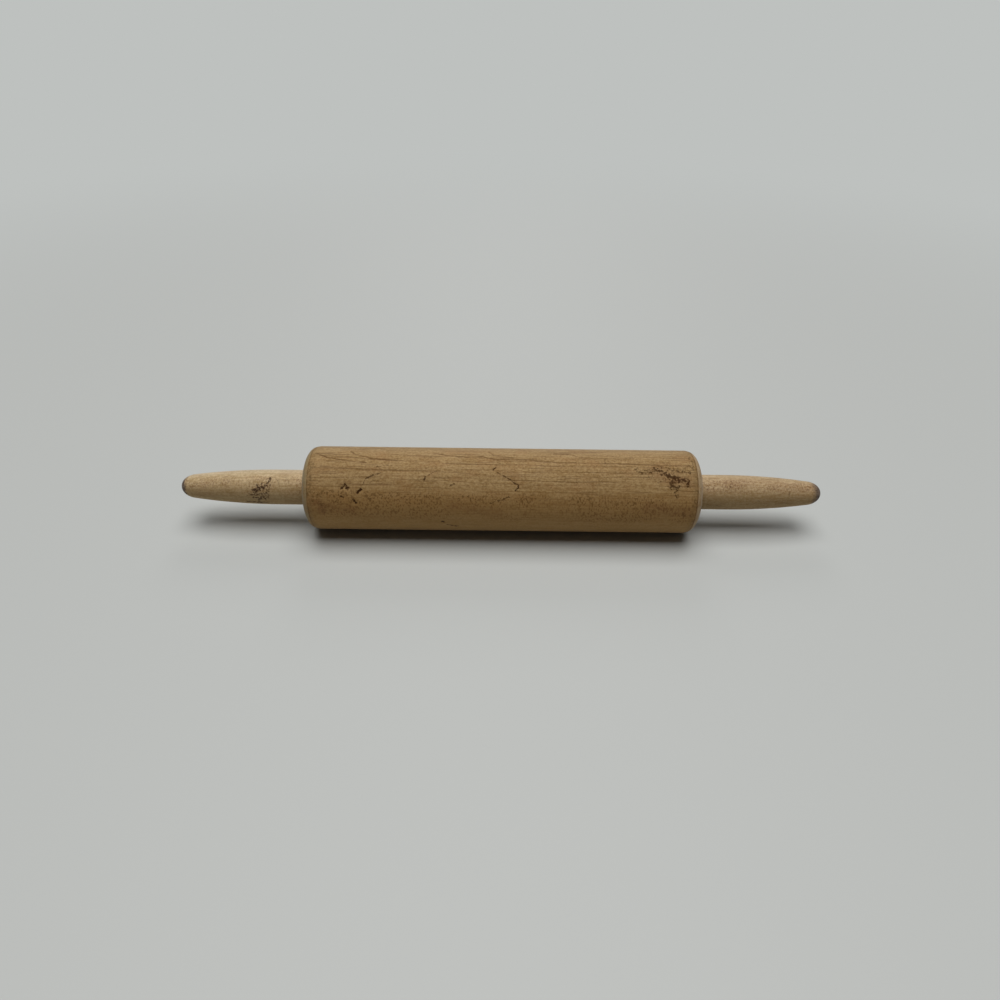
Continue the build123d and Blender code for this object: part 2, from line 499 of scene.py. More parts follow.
@dataclass
class Maple:
    """How one piece of maple was sawn and how it has aged, with what both handles share as the
    defaults. Lengths are in millimetres, but for the radius, and angles in degrees."""

    name: str
    pale: tuple
    deep: tuple
    ruddy: tuple
    fleck: tuple
    end_colour: tuple
    ring_shift: float
    lean: float
    fleck_strength: float
    pore_strength: float
    seed: float
    marks: list
    ring_line: tuple = shade(104, 74, 44)
    ring_spacing: float = 2.2
    pith_distance: float = 60
    run_out: tuple = (0.8, 0.6)
    ring_strength: float = 0.35
    thread_strength: float = 0.25
    fleck_size: float = 0.8
    fleck_band: tuple = (0.78, 0.97)
    fleck_turn: float = 0
    radius: float = HANDLE_RADIUS


def ring_height(net, grain, wood):
    """The distance from the pith, which wanders a little as the tree grew."""
    slow_weight, wave_weight, crinkle_weight = 3, 0.7, 0.18
    _, across, outward = net.parts(grain)
    bow = net.calc("SQRT", net.total(
        net.calc("POWER", net.calc("ADD", outward, wood.pith_distance), 2),
        net.calc("POWER", across, 2),
    ))
    slow = net.noise(grain, (130, 30, 30), wood.seed, detail=1)
    waves = net.noise(grain, (22, 10, 10), wood.seed + 7)
    crinkle = net.noise(grain, (5, 3, 3), wood.seed + 13)
    return net.total(
        bow,
        -wood.pith_distance,
        net.sway(slow, slow_weight),
        net.sway(waves, wave_weight),
        net.sway(crinkle, crinkle_weight),
    )


def growth_lines(net, grain, wood):
    """Thin dark lines where each year's growth ended, some years stronger than others."""
    line_starts, line_full, line_breaks = 0.74, 0.95, 0.955
    faintest_year = 0.2
    height = ring_height(net, grain, wood)
    years = net.calc("MULTIPLY_ADD", height, 1 / wood.ring_spacing, wood.ring_shift)
    season = net.calc("FRACT", years)
    year = net.calc("ADD", net.calc("FLOOR", years), wood.seed)
    luck = net.add("ShaderNodeTexWhiteNoise", noise_dimensions="1D")
    net.feed(luck, {"W": year})
    strength = net.smooth(luck.outputs["Value"], 0, 1, faintest_year, 1)
    rise = net.smooth(season, line_starts, line_full)
    fall = net.smooth(season, line_breaks, 1, 1, 0)
    patchy = net.patches(grain, (24, 5, 5), wood.seed + 3, 0.3, 0.62, 0.3, 1)
    return net.product(rise, fall, strength, patchy, wood.ring_strength)


def ray_flecks(net, place, grain, wood):
    """Short reddish dashes across the grain, where the surface runs along the wood's rays. Their dark
    colour and full strength on the front are partly painted shade.
    """
    # Painted shade in part: the dashes stay weaker on the back than on the front
    quiet_back, everywhere_share = 0.4, 0.16
    dash = tuple(length * wood.fleck_size for length in (1.2, 0.9, 1.9))
    spots = net.patches(grain, dash, wood.seed + 21, 0.52, 0.58, roughness=0.6)
    fleck_turn = radians(wood.fleck_turn)
    ray_line = (0, cos(fleck_turn), -sin(fleck_turn))
    off_centre = net.off_line(grain)
    sideways = net.calc("DIVIDE", net.dot(grain, ray_line), off_centre)
    band = net.product(
        net.smooth(net.calc("ABSOLUTE", sideways), *wood.fleck_band),
        net.smooth(sideways, -0.2, 0.2, 1, quiet_back),
    )
    patchy = net.patches(place, (22, 12, 12), wood.seed + 31, 0.35, 0.6, 0.35, 1)
    shown = net.product(band, patchy)
    everywhere = net.product(spots, everywhere_share)
    dashes = net.calc("MAXIMUM", net.product(spots, shown), everywhere)
    return net.product(dashes, wood.fleck_strength), net.product(shown, wood.fleck_strength)


def cut_across(net):
    """How squarely the surface cuts the fibres: 0 along the turned skin, 1 on an end face."""
    along = net.parts(net.add("ShaderNodeTexCoord").outputs["Normal"])[0]
    return net.smooth(net.calc("ABSOLUTE", along), 0.55, 0.97)


def end_grain(net, place, grain, cut, colour, lines, wood):
    """Darkens wood where its fibres are cut across, and shows crisp rings, rays and open pores."""
    ray_share, line_weight, pore_weight, darkest = 0.28, 1.3, 0.45, 0.8
    _, across, outward = net.parts(grain)
    ray_angle = net.calc("ARCTAN2", across, net.calc("ADD", outward, wood.pith_distance))
    ray_place = net.join(
        net.product(ray_angle, wood.pith_distance), net.product(outward, 0.05), 0
    )
    rays = net.patches(ray_place, (0.5, 0.5, 1), wood.seed + 81, 0.5, 0.7)
    pores = net.patches(place, (1.5, 0.3, 0.3), wood.seed + 83, 0.54, 0.66)
    thirsty = net.patches(place, (9, 9, 9), wood.seed + 85, 0.3, 0.7, 0.45, 0.75, detail=3)
    colour = net.blend(net.product(cut, thirsty), colour, wood.end_colour)
    colour = net.blend(net.product(rays, cut, ray_share), colour, wood.pale)
    dark = net.calc("MAXIMUM", net.product(lines, line_weight), net.product(pores, pore_weight))
    return net.blend(net.product(net.calc("MINIMUM", dark, darkest), cut), colour, wood.ring_line)


def maple_colour(net, place, wood):
    """The wood's own colour and its fine relief, before dirt."""
    middle_depth = 0.45
    grain = net.turn(place, tuple(radians(angle) for angle in (wood.lean, *wood.run_out)))
    fibres = net.noise(grain, (18, 1.2, 1.2), wood.seed + 41, detail=3, roughness=0.7)
    pebbles = net.noise(place, (1.8, 1.5, 1.5), wood.seed + 51, roughness=0.6)
    hairs = net.noise(grain, (6, 0.16, 0.16), wood.seed + 45)
    bands = net.noise(grain, (120, 4.5, 4.5), wood.seed + 43)
    clouds = net.noise(place, (22, 11, 11), wood.seed + 47, detail=3, roughness=0.55)
    weights = ((fibres, 1.2), (pebbles, 1.5), (hairs, 0.6), (bands, 0.4), (clouds, 0.5))
    depth = net.total(*(net.sway(noise, weight) for noise, weight in weights), middle_depth)
    colour = net.blend(net.smooth(depth, 0, 1), wood.pale, wood.deep)
    tint = net.patches(place, (15, 8, 8), wood.seed + 49, 0.45, 0.7, 0, 0.25, roughness=0.55)
    colour = net.blend(tint, colour, wood.ruddy)
    lines = growth_lines(net, grain, wood)
    threads = net.noise(grain, (36, 1, 1), wood.seed + 57, roughness=0.55)
    thread_lines = net.smooth(threads, 0.58, 0.65, 0, wood.thread_strength)
    lines = net.calc("MAXIMUM", lines, thread_lines)
    colour = net.blend(lines, colour, wood.ring_line)
    flecks, fleck_band_share = ray_flecks(net, place, grain, wood)
    # Ruddy tint over the fleck band, stronger on the front than the back: real ray figure, partly painted
    # shade
    colour = net.blend(net.product(fleck_band_share, 0.3), colour, wood.ruddy)
    colour = net.blend(flecks, colour, wood.fleck)
    pores = net.patches(grain, (1.6, 0.32, 0.32), wood.seed + 53, 0.58, 0.68)
    colour = net.blend(net.product(pores, wood.pore_strength), colour, wood.ring_line)
    colour = end_grain(net, place, grain, cut_across(net), colour, lines, wood)
    heights = ((hairs, 0.5), (lines, -0.25), (pores, -0.45), (flecks, -0.2))
    return colour, net.total(*(net.product(layer, height) for layer, height in heights))


def tinted(net, colour, down, top_edge, low_edge, tint, *shares):
    """A tint between two soft edges down the skin, each given as where it starts and is full. It lays the
    painted shade and the painted sheen.
    """
    share = net.product(net.smooth(down, *top_edge), net.smooth(down, *low_edge), *shares)
    return net.blend(share, colour, tint)


def finish_wood(net, shader, colour, relief, dirt):
    """Joins colour, roughness and relief to the shader: dry wood, dulled by many washings."""
    dirt_dulls, bump_strength, bump_depth = 0.12, 0.35, 0.12 * MM
    polish = net.patches(place_on_axle(net), (9, 5, 5), 61, 0.3, 0.7, 0.6, 0.74, detail=3)
    bump = {"Strength": bump_strength, "Distance": bump_depth, "Height": relief}
    net.feed(shader, {
        "Base Color": colour,
        "Roughness": net.total(polish, net.product(dirt, dirt_dulls)),
        "Specular IOR Level": 0.12,
        "Sheen Weight": 0.12,
        "Sheen Roughness": 0.4,
        "Normal": net.add("ShaderNodeBump", bump).outputs["Normal"],
    })


ROLLER_WOOD = Maple(
    name="roller maple",
    pale=shade(177, 147, 102),
    deep=shade(138, 107, 63),
    ruddy=shade(142, 98, 56),
    ring_line=shade(82, 52, 20),
    fleck=shade(56, 29, 6),
    end_colour=shade(126, 97, 62),
    ring_spacing=1.6,
    ring_shift=0.35,
    pith_distance=75,
    lean=6,
    run_out=(-0.5, 0),
    ring_strength=0.5,
    thread_strength=0.5,
    fleck_strength=1,
    fleck_size=1,
    fleck_band=(0.9, 0.98),
    fleck_turn=4,
    pore_strength=0.45,
    seed=2,
    radius=ROLLER_RADIUS,
    marks=ROLLER_MARKS,
)


def roller_maple():
    """The roller's wood: quarter-sawn towards the front, with arched growth lines on top, painted shade
    over the lower front and a painted sheen on top.
    """
    wood = ROLLER_WOOD
    # Painted shade colour for the lower front, then painted sheen colour for the top
    painted_shade_tint, painted_sheen_tint = shade(164, 125, 71), shade(204, 190, 166)
    blush, grain_line, stain = shade(110, 68, 38), shade(86, 54, 20), shade(58, 31, 2)
    material, net, shader = new_material(wood.name)
    place = place_on_axle(net)
    skin = unrolled_skin(net, place, wood.radius)
    colour, relief = maple_colour(net, place, wood)
    down = net.parts(skin)[1]
    on_skin = net.calc("SUBTRACT", 1, cut_across(net))
    # Painted shade: the skin below the side that faces the camera is darkened towards amber
    colour = tinted(net, colour, down, (-6, 14), (84, 45), painted_shade_tint, on_skin, 0.55)
    # Painted sheen: the top, towards the back, is blended a little towards pale grey
    colour = tinted(net, colour, down, (-20, -42), (-84, -46), painted_sheen_tint, on_skin, 0.1)
    for lines, tint in ((ROLLER_BLUSHES, blush), (ROLLER_GRAIN, grain_line)):
        colour = net.blend(lines_mask(net, place, skin, lines, wood.radius), colour, tint)
    stains = marks_mask(net, place, skin, wood)
    colour = net.blend(stains, colour, stain)
    colour = worn_ends(net, place, colour, wood)
    finish_wood(net, shader, colour, relief, stains)
    return material


def worn_ends(net, place, colour, wood):
    """The roller's ends: grime below the crest, rubbed shoulders, a dark line, a greasy centre."""
    crest, face_radius, flange_radius = CREST / MM, FACE_RADIUS / MM, FLANGE_RADIUS / MM
    rub_line = crest - 1.2
    grime_width, crease_width, grease_width = 6, 0.75, 5
    grime_colour, grease_colour = shade(110, 88, 54), shade(64, 50, 36)
    left_colour, right_colour = shade(150, 134, 100), shade(176, 152, 120)
    side_place = net.parts(place)[0]
    side_colour = net.blend(net.smooth(side_place, -1, 1), left_colour, right_colour)
    along = net.calc("ABSOLUTE", side_place)
    off_axle = net.off_line(place)
    off_rub_line = net.calc("ABSOLUTE", net.calc("SUBTRACT", along, rub_line))
    rubbed = net.noise(place, (3, 5, 5), wood.seed + 61, detail=3)
    shoulder = net.product(
        net.smooth(along, rub_line + 0.1, rub_line + 0.7),
        net.smooth(off_axle, face_radius - 0.6, face_radius + 0.4),
    )
    greasy = net.product(
        net.smooth(along, crest + 1, crest + 2),
        net.smooth(off_axle, flange_radius + grease_width, flange_radius),
    )
    # Each layer's colour and how far it covers, then how its rubbing wavers
    layers = (
        (grime_colour, net.smooth(along, rub_line - grime_width, rub_line), (0.3, 0.65, 0.1, 0.4)),
        (side_colour, shoulder, (0.35, 0.6, 0.3, 0.75)),
        (wood.ring_line, net.smooth(off_rub_line, crease_width, 0.1), (0.3, 0.65, 0.2, 0.55)),
        (grease_colour, greasy, (0.3, 0.6, 0.3, 0.7)),
    )
    for tint, cover, rubbing in layers:
        colour = net.blend(net.product(cover, net.smooth(rubbed, *rubbing)), colour, tint)
    return colour


# What each handle's own blank and wear are like
HANDLE_BLANKS = {
    "left": Maple(
        name="left handle maple",
        pale=shade(210, 186, 146),
        deep=shade(164, 137, 92),
        ruddy=shade(174, 136, 102),
        fleck=shade(112, 74, 48),
        end_colour=shade(138, 112, 80),
        ring_shift=0.1,
        lean=50,
        fleck_strength=0.55,
        pore_strength=0.3,
        seed=80,
        marks=LEFT_MARKS,
    ),
    "right": Maple(
        name="right handle maple",
        pale=shade(197, 172, 134),
        deep=shade(152, 122, 80),
        ruddy=shade(156, 122, 90),
        fleck=shade(98, 64, 42),
        end_colour=shade(128, 102, 72),
        ring_shift=0.6,
        lean=47,
        fleck_strength=0.5,
        pore_strength=0.45,
        seed=120,
        marks=RIGHT_MARKS,
    ),
}
# How strong each handle's painted sheen on top is
PAINTED_SHEEN_SHARE = {"left": 0.3, "right": 0.1}
TIP_DIRT_REACH = {"left": 3.5, "right": 7.5}


def handle_maple(side):
    """A handle's wood: its own blank of maple, greyed at the tip and soiled by hands, with painted shade
    below and a painted sheen on top.
    """
    wood = HANDLE_BLANKS[side]
    # Painted shade colour for the underside, then painted sheen colour for the top, then the stain colour
    painted_shade_tint, painted_sheen_tint, stain = shade(146, 116, 72), shade(210, 200, 182), shade(58, 33, 20)
    tip_dark, tip_pale = shade(60, 48, 42), shade(118, 101, 89)
    raggedness, tip_cover = 6, 0.92
    material, net, shader = new_material(wood.name)
    place = place_on_axle(net)
    skin = unrolled_skin(net, place, wood.radius)
    colour, relief = maple_colour(net, place, wood)
    down = net.parts(skin)[1]
    # Painted shade: the skin below the side that faces the camera is darkened towards amber
    colour = tinted(net, colour, down, (-4, 5), (30, 18), painted_shade_tint, 0.5)
    # Painted sheen: the top is blended towards pale grey, more on the left handle
    colour = tinted(net, colour, down, (-6, -17), (-36, -20), painted_sheen_tint, PAINTED_SHEEN_SHARE[side])
    stains = marks_mask(net, place, skin, wood)
    colour = net.blend(stains, colour, stain)
    along = net.product(net.parts(place)[0], SIDES[side])
    ragged = net.noise(place, (2.4, 2.4, 2.4), wood.seed + 71, detail=3)
    ragged_along = net.calc("MULTIPLY_ADD", ragged, raggedness, along)
    from_tip = net.calc("SUBTRACT", HANDLE_TIP / MM, ragged_along)
    tip_dirt = net.smooth(from_tip, TIP_DIRT_REACH[side], 0.5)
    speckled = net.patches(place, (1.4, 1.4, 1.4), wood.seed + 73, 0.34, 0.66)
    tip_mottle = net.blend(speckled, tip_dark, tip_pale)
    colour = net.blend(net.product(tip_dirt, tip_cover), colour, tip_mottle)
    finish_wood(net, shader, colour, relief, net.calc("MAXIMUM", stains, tip_dirt))
    return material


# Turning


def stations(start, end, step):
    """Evenly spaced places from start to end, no further apart than step."""
    rounding_slack = 1e-9
    count = max(1, ceil(abs(end - start) / step - rounding_slack))
    return [start + (end - start) * i / count for i in range(count + 1)]


def sagitta_arc(start, end, bulge, count):
    """Points along an arc that stands out from its chord by bulge, to the chord's left."""
    start, end = Vector(start), Vector(end)
    chord = end - start
    half = chord.length / 2
    radius = (half**2 + bulge**2) / (2 * bulge)
    across = Vector((-chord.y, chord.x)).normalized()
    centre = (start + end) / 2 + across * (bulge - radius)
    sweep = 2 * asin(half / radius)
    first = start - centre
    points = []
    for i in range(count + 1):
        angle = -sweep * i / count
        c, s = cos(angle), sin(angle)
        points.append(centre + Vector((first.x * c - first.y * s, first.x * s + first.y * c)))
    return [tuple(point) for point in points]


def bezier(points, count):
    """Points along a cubic curve."""
    p0, p1, p2, p3 = (Vector(point) for point in points)
    curve = []
    for i in range(count + 1):
        t = i / count
        s = 1 - t
        curve.append(tuple(p0 * s**3 + p1 * 3 * s * s * t + p2 * 3 * s * t * t + p3 * t**3))
    return curve


def dented_spans(wood):
    """The spans along the pin that hold dents, joined where they overlap."""
    spans = []
    for mark in wood.marks:
        if mark.dent:
            places = [skin_place(pixel, wood.radius).x for pixel in mark.pixels]
            spans.append((min(places) - mark.reach * MM, max(places) + mark.reach * MM))
    joined = []
    for start, end in sorted(spans):
        if joined and start < joined[-1][1]:
            joined[-1] = (joined[-1][0], max(joined[-1][1], end))
        else:
            joined.append((start, end))
    return joined


def roller_end():
    """The right-hand end's outline: off the cylinder, over the crest, down to the face."""
    arc_radius = (END_EASE_LENGTH**2 + END_EASE_DROP**2) / (2 * END_EASE_DROP)
    ease = [
        (CREST - END_EASE_LENGTH + x, ROLLER_RADIUS - arc_radius + sqrt(arc_radius**2 - x**2))
        for x in stations(0.0, END_EASE_LENGTH, FINE_STEP)
    ]
    foot = (ROLLER_END, FACE_RADIUS)
    return ease + sagitta_arc(ease[-1], foot, SHOULDER_BULGE, SHOULDER_STEPS)[1:]


def roller_outline():
    """The roller's closed outline as (along, radius, skin), where skin is 1 on the outside."""
    end = roller_end()
    places = [-end[0][0]]
    for low, high in dented_spans(ROLLER_WOOD):
        places += stations(places[-1], low, COARSE_STEP)[1:]
        places += stations(low, high, FINE_STEP)[1:]
    places += stations(places[-1], end[0][0], COARSE_STEP)[1:]
    outside = [(-x, radius) for x, radius in reversed(end)]
    outside += [(x, ROLLER_RADIUS) for x in places[1:-1]] + end
    floor = ROLLER_END - FLANGE_THICKNESS
    half_inside = [
        (ROLLER_END, (FACE_RADIUS + FLANGE_RADIUS) / 2),
        (ROLLER_END, FLANGE_RADIUS),
        (floor, FLANGE_RADIUS),
        (floor, SLEEVE_SEAT_RADIUS),
        (BUSHING_INNER_END, SLEEVE_SEAT_RADIUS),
        (BUSHING_INNER_END, AXLE_TUNNEL_RADIUS),
    ]
    inside = half_inside + [(-x, radius) for x, radius in reversed(half_inside)]
    outline = [(x, radius, 1.0) for x, radius in outside]
    outline += [(x, radius, 0.0) for x, radius in inside]
    return outline + outline[:1]


def handle_outline():
    """The right handle's outline from the tip round to the drill point, as (along, radius, skin)."""
    nose_start = HANDLE_TIP - NOSE_LENGTH
    taper_start = HANDLE_BASE + HANDLE_STRAIGHT
    taper_turn = atan2(nose_start - taper_start, TAPER_RADIUS)
    nose_radius = HANDLE_RADIUS - (nose_start - taper_start) * tan(taper_turn / 2)
    reach = QUARTER_ELLIPSE_SHARE * NOSE_LENGTH
    nose_handles = [
        (HANDLE_TIP, 0),
        (HANDLE_TIP, QUARTER_ELLIPSE_SHARE * nose_radius),
        (nose_start + reach * cos(taper_turn), nose_radius - reach * sin(taper_turn)),
        (nose_start, nose_radius),
    ]
    outside = bezier(nose_handles, NOSE_STEPS)
    centre_radius = HANDLE_RADIUS - (nose_start - taper_start) / sin(taper_turn)
    sweep = hypot(nose_start - taper_start, nose_radius - centre_radius)
    for x in stations(nose_start, taper_start, FINE_STEP * 2)[1:]:
        outside.append((x, centre_radius + sqrt(sweep**2 - (x - taper_start) ** 2)))
    edge_end = HANDLE_BASE + HANDLE_EDGE_ROUND
    outside += [(x, HANDLE_RADIUS) for x in stations(taper_start, edge_end, FINE_STEP * 2)[1:]]
    for i in range(1, EDGE_STEPS + 1):
        angle = radians(90 + 90 / EDGE_STEPS * i)
        outside.append((
            edge_end + HANDLE_EDGE_ROUND * cos(angle),
            HANDLE_RADIUS - HANDLE_EDGE_ROUND + HANDLE_EDGE_ROUND * sin(angle),
        ))
    bore_bottom = AXLE_HALF_LENGTH + BORE_END_ROOM
    drill_point = bore_bottom + AXLE_RADIUS / tan(DRILL_POINT_ANGLE / 2)
    inside = [(HANDLE_BASE, (HANDLE_RADIUS + AXLE_RADIUS) / 2)]
    inside += [(x, AXLE_RADIUS) for x in stations(HANDLE_BASE, bore_bottom, BORE_STEP)]
    inside += [(drill_point, 0.0)]
    return [(x, radius, 1.0) for x, radius in outside] + [(x, radius, 0.0) for x, radius in inside]


def points_object(name, places, edges, numbers):
    """An object of points and edges, with named numbers stored at the points."""
    mesh = bpy.data.meshes.new(name)
    mesh.from_pydata(places, edges, [])
    for attribute, values in numbers.items():
        mesh.attributes.new(attribute, "FLOAT", "POINT").data.foreach_set("value", values)
    return add_object(name, mesh)


def gouge_object(name, wood):
    """The dents as points on the skin, with how far and how deep each reaches."""
    spacing_share = 0.6
    places, reaches, depths = [], [], []
    for mark in wood.marks:
        if not mark.dent:
            continue
        corners = [skin_place(pixel, wood.radius) for pixel in mark.pixels]
        for start, end in zip(corners, corners[1:]):
            step = spacing_share * mark.reach * MM / (end - start).length
            for share in stations(0.0, 1.0, step):
                places.append(start.lerp(end, share))
                reaches.append(mark.reach * MM)
                depths.append(mark.dent * MM)
    if not places:
        places, reaches, depths = [Vector((0, 0, -1))], [MM], [0.0]
    return points_object(name, places, [], {"reach": reaches, "depth": depths})


def sampled(net, source, kind, value, index):
    """An attribute of another mesh, read at one of its points."""
    inputs = {"Geometry": source, "Value": value, "Index": index}
    return net.add("GeometryNodeSampleIndex", inputs, data_type=kind).outputs["Value"]


def named(net, name):
    """A stored number of the points that are being worked on."""
    node = net.add("GeometryNodeInputNamedAttribute", {"Name": name}, data_type="FLOAT")
    return node.outputs["Attribute"]


def lathe_tree():
    """Turns an outline round the axle, then wears its skin and dents it at the gouges."""
    net, start = new_group(
        "turned on a lathe", "GeometryNodeTree",
        {
            "Geometry": "Geometry", "Sides": "Int", "Axle height": "Float", "Facing angle": "Float",
            "Crowding": "Float", "Wear depth": "Float", "Wear size": "Float", "Seed": "Float",
            "Gouges": "Object", "Material": "Material",
        },
        {"Geometry": "Geometry"},
    )
    net.tree.is_modifier = True

    def step(kind, geometry, **inputs):
        """One working step on the geometry."""
        return net.add(f"GeometryNode{kind}", {"Geometry": geometry} | inputs).outputs["Geometry"]

    outline = start["Geometry"]
    position = net.add("GeometryNodeInputPosition").outputs[0]

    # The outline swept round the axle, with more sides where it faces the camera
    size = net.add("GeometryNodeAttributeDomainSize", {"Geometry": outline}, component="MESH")
    rows = size.outputs["Point Count"]
    columns = net.calc("ADD", start["Sides"], 1.0)
    grid = net.add("GeometryNodeMeshGrid", {"Vertices X": columns, "Vertices Y": rows})
    turn_share, outline_share, _ = net.parts(grid.outputs["UV Map"])
    row = net.calc("ROUND", net.product(outline_share, net.calc("SUBTRACT", rows, 1.0)))
    row_place = sampled(net, outline, "FLOAT_VECTOR", position, row)
    row_skin = sampled(net, outline, "FLOAT", named(net, "skin"), row)
    along, _, radius = net.parts(row_place)
    lap = net.calc("MULTIPLY_ADD", turn_share, 2 * pi, -pi)
    crowded = net.calc("SUBTRACT", lap, net.product(net.calc("SINE", lap), start["Crowding"]))
    angle = net.calc("ADD", crowded, start["Facing angle"])
    turned = net.join(
        along,
        net.product(net.calc("COSINE", angle), radius, -1.0),
        net.calc("MULTIPLY_ADD", net.calc("SINE", angle), radius, start["Axle height"]),
    )
    skinned = step("StoreNamedAttribute", grid.outputs["Mesh"], Name="skin", Value=row_skin)
    bent = step("SetPosition", skinned, Position=turned)
    welded = step("MergeByDistance", bent, Distance=WELD_DISTANCE)

    # How deep the nearest gouge sinks the skin
    gouges = net.add("GeometryNodeObjectInfo", {"Object": start["Gouges"]}, transform_space="ORIGINAL")
    gouge_points = gouges.outputs["Geometry"]
    nearest = {"Geometry": gouge_points, "Sample Position": position}
    index = net.add("GeometryNodeSampleNearest", nearest, domain="POINT").outputs["Index"]
    gouge_place = sampled(net, gouge_points, "FLOAT_VECTOR", position, index)
    reach = sampled(net, gouge_points, "FLOAT", named(net, "reach"), index)
    depth = sampled(net, gouge_points, "FLOAT", named(net, "depth"), index)
    gap_share = net.calc("DIVIDE", net.vector("DISTANCE", position, gouge_place), reach)
    dent = net.product(net.smooth(gap_share, 1.0, 0.1), depth)

    # Wear all over the skin, then both pressed in towards the axle
    wear_size = net.join(start["Wear size"], start["Wear size"], start["Wear size"])
    worn_place = net.vector("DIVIDE", position, wear_size)
    wear_place = net.vector("ADD", worn_place, net.join(start["Seed"], 0.0, 0.0))
    wear_noise = net.noise(wear_place, (1.0, 1.0, 1.0), 0.0, detail=3.0, roughness=0.6)
    wear = net.product(net.smooth(wear_noise, 0.35, 0.75), start["Wear depth"])
    sunk = net.product(net.calc("ADD", dent, wear), named(net, "skin"), -1.0)
    axle_place = net.join(0.0, 0.0, start["Axle height"])
    _, out_y, out_z = net.parts(net.vector("SUBTRACT", position, axle_place))
    outward = net.vector("NORMALIZE", net.join(0.0, out_y, out_z))
    pressed = step("SetPosition", welded, Offset=net.vector("SCALE", outward, scale=sunk))
    coated = step("SetMaterial", step("RealizeInstances", pressed), Material=start["Material"])
    net.add("NodeGroupOutput", {"Geometry": coated})
    return net.tree


LATHE = lathe_tree()


def turned_piece(name, outline, wood, material, **settings):
    """An outline turned by the lathe tree and kept as a plain closed mesh."""
    places = [(x, 0.0, radius) for x, radius, _ in outline]
    edges = [(i, i + 1) for i in range(len(outline) - 1)]
    skins = [skin for _, _, skin in outline]
    blank = points_object(f"{name}_outline", places, edges, {"skin": skins})
    gouges = gouge_object(f"{name}_gouges", wood)
    modifier = blank.modifiers.new("lathe", "NODES")
    modifier.node_group = LATHE
    settings |= {
        "Axle height": AXLE_HEIGHT,
        "Facing angle": VIEW_ELEVATION,
        "Gouges": gouges,
        "Material": material,
    }
    for socket in LATHE.interface.items_tree:
        if socket.in_out == "INPUT" and socket.name in settings:
            modifier[socket.identifier] = settings[socket.name]
    mesh = worked_mesh(blank)
    mesh.name = name
    bpy.data.objects.remove(blank)
    bpy.data.objects.remove(gouges)
    shell = bmesh.new()
    shell.from_mesh(mesh)
    bmesh.ops.recalc_face_normals(shell, faces=shell.faces)
    shell.to_mesh(mesh)
    shell.free()
    return add_object(name, mesh)


def worked_mesh(item):
    """An object's mesh as its modifiers leave it."""
    return bpy.data.meshes.new_from_object(item.evaluated_get(bpy.context.evaluated_depsgraph_get()))


def shade_turned(piece):
    """Smooth skin with crisp edges where the outline really turns a corner."""
    for polygon in piece.data.polygons:
        polygon.use_smooth = True
    piece.data.set_sharp_from_angle(angle=CRISP_ANGLE)


ROLLER_CUT = {"Sides": 256, "Crowding": 0.4, "Wear depth": 0.06 * MM, "Wear size": 9 * MM, "Seed": 3.0}
HANDLE_CUT = {"Sides": 128, "Crowding": 0.25, "Wear depth": 0.05 * MM, "Wear size": 6 * MM}
HANDLE_WEAR_SEED = {"left": 5.0, "right": 8.0}


def make_roller():
    """The roller, standing for its CAD node."""
    piece = turned_piece("worn_roller", roller_outline(), ROLLER_WOOD, roller_maple(), **ROLLER_CUT)
    shade_turned(piece)
    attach(piece, "roller")
    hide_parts("roller")


def make_handle(side):
    """A handle, drilled for its brad, standing for its CAD node."""
    outline = [(x * SIDES[side], radius, skin) for x, radius, skin in handle_outline()]
    cut = HANDLE_CUT | {"Seed": HANDLE_WEAR_SEED[side]}
    piece = turned_piece(
        f"worn_{side}_handle", outline, HANDLE_BLANKS[side], handle_maple(side), **cut
    )
    drill_brad_hole(piece, side)
    shade_turned(piece)
    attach(piece, "handles_and_axle")
    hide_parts(f"{side}_handle")


def drill_brad_hole(piece, side):
    """Cuts the brad's hole through the near wall, the bore and into the far wall."""
    depth_below = AXLE_RADIUS + BRAD_BITE
    length = HANDLE_RADIUS + MM + depth_below
    cutter_mesh = bpy.data.meshes.new("brad drill")
    drill = bmesh.new()
    bmesh.ops.create_cone(
        drill, cap_ends=True, segments=BRAD_HOLE_SIDES,
        radius1=BRAD_RADIUS, radius2=BRAD_RADIUS, depth=length,
    )
    bmesh.ops.translate(drill, verts=drill.verts, vec=(0, 0, length / 2 - depth_below))
    turn = Euler((BRAD_DIRECTION_ANGLE, 0, 0)).to_matrix()
    bmesh.ops.rotate(drill, verts=drill.verts, cent=(0, 0, 0), matrix=turn)
    bmesh.ops.translate(drill, verts=drill.verts, vec=(BRAD_PLACE * SIDES[side], 0, AXLE_HEIGHT))
    drill.to_mesh(cutter_mesh)
    drill.free()
    cutter = add_object("brad drill", cutter_mesh)
    cut = piece.modifiers.new("brad hole", "BOOLEAN")
    cut.object = cutter
    cut.operation = "DIFFERENCE"
    cut.solver = "EXACT"
    drilled = worked_mesh(piece)
    piece.modifiers.clear()
    piece.data = drilled
    bpy.data.objects.remove(cutter)


# Metal and nylon


def wavering(name, spacing, seed, detail, colours, roughnesses, metallic):
    """A material that wavers between two colours and two roughnesses."""
    material, net, shader = new_material(name)
    waver = net.noise(place_on_axle(net), spacing, seed, detail=detail)
    net.feed(shader, {
        "Base Color": net.blend(waver, *colours),
        "Metallic": metallic,
        "Roughness": net.smooth(waver, 0.3, 0.7, *roughnesses),
    })
    return material


def axle_steel():
    """Drawn steel rod: fine lines along its length."""
    colours = shade(150, 150, 152), shade(182, 182, 184)
    return wavering("axle steel", (30, 0.15, 0.15), 5, 3, colours, (0.28, 0.42), metallic=1)


